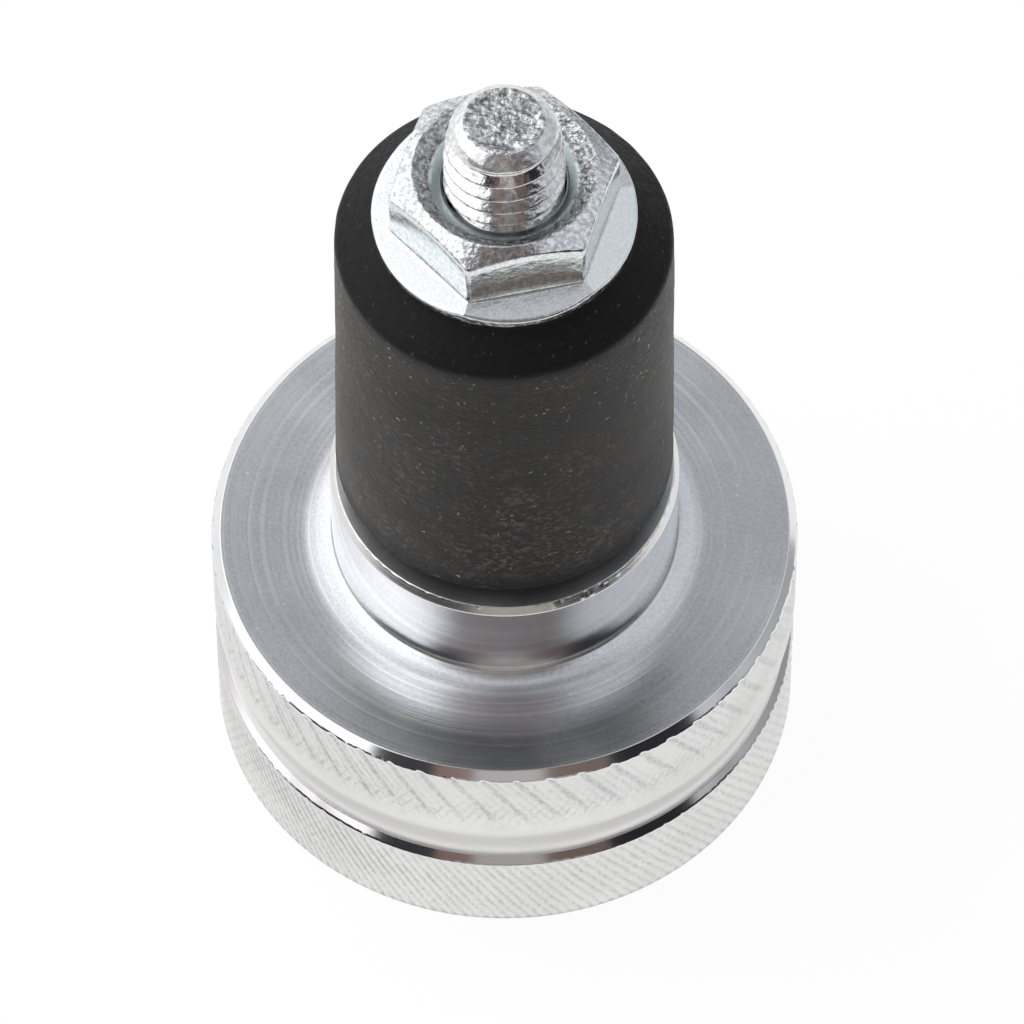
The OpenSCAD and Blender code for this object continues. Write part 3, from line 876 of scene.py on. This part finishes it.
def make_nut(materials):
    """The flange nut: hollow stamped top, coned corners, flats and the six-faced flange."""
    columns = 720
    angle = 2 * math.pi * np.arange(columns) / columns
    rows = nut_rows((angle % SIXTH) - TWELFTH)
    r, z = (np.stack([row[i] * np.ones(columns) for row in rows]) for i in (0, 1))
    x, y = r * np.cos(angle), r * np.sin(angle)
    lumps = 0.035 * plane_noise(x, y, cell=0.36) + 0.025 * plane_noise(x, y, cell=0.15)
    waves = 0.006 * plane_noise(x, y, cell=0.5)
    unevenness = {
        "stamped": lumps - STAMPED_SINK,
        "chamfer": CONE_UNEVEN_SHARE * lumps - 0.005,
        "flange": waves,
    }
    for zone, lift in unevenness.items():
        z = z + np.where(in_zone(rows, zone), lift, 0)
    r = r + np.where(in_zone(rows, "rim"), np.minimum(waves, 0), 0)
    faces = ring_faces(len(rows), columns, closed=True)
    return new_piece("flanged_nut", turned_points(r, z, angle + NUT_TURN), faces,
                     list(materials.values()), zone_materials(rows, materials, columns))


# Studio

# The camera looks at a point beside the axis. Its focal length is in pixels of the square frame
CAMERA_ELEVATION = math.radians(57.5)
CAMERA_DISTANCE = 450.0
CAMERA_HEIGHT = 15.89
CAMERA_SIDE = 0.376
FOCAL_PX = 8768.0
FRAME_PX = 1024.0
SENSOR_WIDTH = 36.0

# The floor lies a hair below the end face, so that the two never share a plane
FLOOR_HALF = 3000.0
FLOOR_LEVEL = -0.01
SHADOW_SHARE = 0.05

# The studio as the object sees it, in degrees. Azimuth 0 is to the right and -90 towards the camera.
# Each board has its azimuths, elevations, width of soft edge and light, and covers the earlier ones
STUDIO_GREY = (0.45, 0.46, 0.48)
ALL_ROUND = (-180, 180)
NADIR, ZENITH = -90, 90
STUDIO_BOARDS = {
    "room beyond the table": (ALL_ROUND, (NADIR, 9), 5, (0.40, 0.40, 0.41)),
    "table's end at the left": ((100, 184), (NADIR, 12), 5, (0.95, 0.95, 0.97)),
    "ceiling": (ALL_ROUND, (76, ZENITH), 12, (0.64, 0.65, 0.67)),
    "left softbox, low": ((112, 232), (9, 46), 8, (1.55, 1.55, 1.58)),
    "left softbox, front": ((160, 224), (42, 76), 8, (1.70, 1.70, 1.72)),
    "left softbox, back": ((106, 164), (42, 76), 8, (1.30, 1.30, 1.32)),
    "right board": ((-45, 70), (20, 70), 10, (0.78, 0.80, 0.84)),
    "right board, shaded foot": ((-45, 0), (16, 42), 10, (0.62, 0.63, 0.67)),
    "camera side": ((-134, -46), (44, 85), 8, (0.24, 0.24, 0.25)),
    "dark room, left": ((-162, -104), (NADIR, 18), 8, (0.04, 0.04, 0.045)),
    "dark room, right": ((-66, -12), (NADIR, 17), 8, (0.04, 0.04, 0.045)),
    "dark stand, left foot": ((-152, -110), (NADIR, 22), 4, (0.04, 0.04, 0.045)),
    "dark stand, left": ((-133, -111), (NADIR, 46), 5, (0.045, 0.045, 0.05)),
    "pale front board": ((-100, -77), (13, 44), 4, (0.48, 0.47, 0.46)),
    "brown edge, left": ((-112, -100), (14, 70), 3, (0.26, 0.18, 0.16)),
    "brown edge, right": ((-77, -57), (14, 66), 4, (0.19, 0.14, 0.125)),
    "black stand": ((-57, -27), (11, 46), 4, (0.025, 0.025, 0.03)),
    "pale front board, foot": ((-106, -64), (NADIR, 23), 4, (0.42, 0.40, 0.37)),
}


def make_camera():
    """A long lens from above, as the photograph was taken."""
    data = bpy.data.cameras.new("camera")
    data.sensor_width = SENSOR_WIDTH
    data.lens = FOCAL_PX / FRAME_PX * SENSOR_WIDTH
    data.clip_start, data.clip_end = 0.01, 10.0
    camera = bpy.data.objects.new("camera", data)
    bpy.context.scene.collection.objects.link(camera)
    back = Vector((0.0, -math.cos(CAMERA_ELEVATION), math.sin(CAMERA_ELEVATION)))
    aim = Vector((CAMERA_SIDE, 0.0, CAMERA_HEIGHT))
    camera.location = (aim + back * CAMERA_DISTANCE) * MM
    camera.rotation_euler = (-back).to_track_quat("-Z", "Y").to_euler()
    bpy.context.scene.camera = camera


class WorldNodes(Nodes):
    """The same short way to write the world's nodes."""

    def __init__(self, world):
        world.use_nodes = True
        self.tree = world.node_tree
        self.tree.nodes.clear()


def board_mask(n, azimuth, elevation, sides, heights, fade):
    """Where a board covers the studio, with soft edges on the sides that it has."""
    soft = math.radians(fade / 2)
    edges = []
    if sides != ALL_ROUND:
        middle, half = math.radians(sum(sides) / 2), math.radians((sides[1] - sides[0]) / 2)
        turned = n.math("WRAP", n.math("SUBTRACT", azimuth, middle), math.pi, -math.pi)
        off_middle = n.math("ABSOLUTE", turned)
        edges.append(n.remap(off_middle, half + soft, half - soft, kind="SMOOTHSTEP"))
    if heights[0] > NADIR:
        low = math.radians(heights[0])
        edges.append(n.remap(elevation, low - soft, low + soft, kind="SMOOTHSTEP"))
    if heights[1] < ZENITH:
        high = math.radians(heights[1])
        edges.append(n.remap(elevation, high + soft, high - soft, kind="SMOOTHSTEP"))
    mask = edges[0]
    for edge in edges[1:]:
        mask = n.math("MULTIPLY", mask, edge)
    return mask


def make_world():
    """A studio of soft boards, with white behind them for the camera."""
    world = bpy.data.worlds.new("studio")
    bpy.context.scene.world = world
    n = WorldNodes(world)
    parts = n.add("ShaderNodeSeparateXYZ")
    n.link(n.add("ShaderNodeTexCoord").outputs["Generated"], parts.inputs[0])
    azimuth = n.math("ARCTAN2", parts.outputs[1], parts.outputs[0])
    elevation = n.math("ARCSINE", parts.outputs[2])
    light = STUDIO_GREY
    for sides, heights, fade, colour in STUDIO_BOARDS.values():
        light = n.blend(board_mask(n, azimuth, elevation, sides, heights, fade), light, colour)
    studio = n.add("ShaderNodeBackground")
    n.link(light, studio.inputs["Color"])
    white = n.add("ShaderNodeBackground")
    white.inputs["Color"].default_value = (1, 1, 1, 1)
    mix = n.add("ShaderNodeMixShader")
    n.link(n.add("ShaderNodeLightPath").outputs["Is Camera Ray"], mix.inputs[0])
    n.link(studio.outputs[0], mix.inputs[1])
    n.link(white.outputs[0], mix.inputs[2])
    n.link(mix.outputs[0], n.add("ShaderNodeOutputWorld").inputs["Surface"])


def make_floor():
    """A white table that keeps a trace of the object's shadow."""
    n = Nodes("table_white")
    diffuse = n.add("ShaderNodeBsdfDiffuse")
    diffuse.inputs["Color"].default_value = (0.9, 0.9, 0.9, 1)
    glow = n.add("ShaderNodeEmission")
    glow.inputs["Color"].default_value = (1, 1, 1, 1)
    path = n.add("ShaderNodeLightPath").outputs
    mirrored = n.math("MAXIMUM", path["Is Glossy Ray"], path["Is Transmission Ray"])
    seen = n.math("MAXIMUM", path["Is Camera Ray"], mirrored)
    mix = n.add("ShaderNodeMixShader")
    n.link(n.math("MULTIPLY", seen, 1 - SHADOW_SHARE), mix.inputs[0])
    n.link(diffuse.outputs[0], mix.inputs[1])
    n.link(glow.outputs[0], mix.inputs[2])
    n.link(mix.outputs[0], n.tree.nodes["Material Output"].inputs["Surface"])
    signs = ((-1, -1), (1, -1), (1, 1), (-1, 1))
    corners = [(x * FLOOR_HALF, y * FLOOR_HALF, FLOOR_LEVEL) for x, y in signs]
    new_piece("table", corners, [(0, 1, 2, 3)], [n.material])


def make_lamp(name, azimuth, elevation, distance, size, power):
    """A soft square lamp, in metres and watts, that isn't mirrored: the boards are what metal shows."""
    data = bpy.data.lights.new(name, "AREA")
    data.size = size
    data.energy = power
    lamp = bpy.data.objects.new(name, data)
    bpy.context.scene.collection.objects.link(lamp)
    a, e = math.radians(azimuth), math.radians(elevation)
    away = Vector((math.cos(a) * math.cos(e), math.sin(a) * math.cos(e), math.sin(e)))
    lamp.location = away * distance
    lamp.rotation_euler = (-away).to_track_quat("-Z", "Y").to_euler()
    lamp.visible_glossy = False


# The scene

bpy.context.scene.view_settings.view_transform = "Standard"
make_camera()
make_world()
make_floor()
make_lamp("key", azimuth=160, elevation=50, distance=0.8, size=0.6, power=3.4)

# Finish of each zone of the head
head_materials = {
    "turned": turned_material("aluminium_turned", (0.73, 0.745, 0.77), roughness=0.26, anisotropic=0.4,
                              ring_mm=0.005, grain_mm=0.0003, along_axis=False, stain_and_highlight=0.1),
    "bright": turned_material("aluminium_bright", (0.84, 0.84, 0.85), roughness=0.11, anisotropic=0.3,
                              ring_mm=0.001, grain_mm=0.0005, along_axis=True, stain_and_highlight=0.02),
    "end": turned_material("aluminium_end", (0.80, 0.80, 0.80), roughness=0.42, anisotropic=0.0,
                           ring_mm=0.003, grain_mm=0.002, along_axis=False),
    "edge": turned_material("aluminium_edge", (0.78, 0.77, 0.76), roughness=0.22, anisotropic=0.3,
                            ring_mm=0.006, grain_mm=0.001, along_axis=True, stain_and_highlight=0.05),
    # Painted shade: the groove's lower wall is the bright finish in a darker, warmer tone.
    "shaded groove wall": turned_material("aluminium_groove_shaded", (0.70, 0.68, 0.68), roughness=0.11, anisotropic=0.3,
                                   ring_mm=0.001, grain_mm=0.0005, along_axis=True, stain_and_highlight=0.02),
    "satin": turned_material("aluminium_satin", (0.83, 0.83, 0.82), roughness=0.45, anisotropic=0.0,
                             ring_mm=0.002, grain_mm=0.001, along_axis=True, stain_and_highlight=0.02),
    "knurl": knurled_material(),
}

# Finish of each zone of the nut and of the screw. The second tone of each is painted shade in its pits
PLATE = (0.79, 0.81, 0.83)
nut_materials = {
    "entry": zinc_material("zinc_entry", (0.68, 0.76, 0.74), (0.60, 0.68, 0.66),
                           roughness=0.32, pit_mm=0.004, pit_scale=3000.0),
    "stamped": zinc_material("zinc_stamped", (0.90, 0.91, 0.92), (0.32, 0.325, 0.33),
                             roughness=0.12, pit_mm=0.13, pit_scale=4200.0),
    "chamfer": zinc_material("zinc_chamfer", (0.84, 0.86, 0.88), (0.44, 0.45, 0.46),
                             roughness=0.13, pit_mm=0.02, pit_scale=4200.0),
    "flat": zinc_material("zinc_flat", (0.82, 0.86, 0.86), (0.62, 0.67, 0.66),
                          roughness=0.14, pit_mm=0.012, pit_scale=4200.0),
    "flange": zinc_material("zinc_flange", PLATE, (0.70, 0.72, 0.74),
                            roughness=0.17, pit_mm=0.012, pit_scale=7500.0),
    "rim": zinc_material("zinc_rim", PLATE, (0.37, 0.38, 0.39),
                         roughness=0.2, pit_mm=0.05, pit_scale=3600.0),
}
screw_materials = {
    "point": zinc_material("zinc_point", (0.84, 0.85, 0.86), (0.26, 0.26, 0.265),
                           roughness=0.14, pit_mm=0.14, pit_scale=3600.0),
    "cone": zinc_material("zinc_cone", (0.90, 0.91, 0.92), (0.66, 0.66, 0.67),
                          roughness=0.3, pit_mm=0.03, pit_scale=3600.0),
    "thread": zinc_material("zinc_thread", (0.86, 0.86, 0.87), (0.60, 0.59, 0.58),
                            roughness=0.13, pit_mm=0.02, pit_scale=3600.0),
    "head": nut_materials["flat"],
}

pieces = (
    (make_head(head_materials), "weight_body", "turned_aluminium"),
    (make_rubber(rubber_material()), "expander_rubber", "black_rubber"),
    (make_screw(screw_materials), "clamp_bolt", "zinc_steel"),
    (make_nut(nut_materials), "flange_nut", "zinc_steel"),
)
for piece, node, slot in pieces:
    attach(piece, "root")
    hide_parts(node)
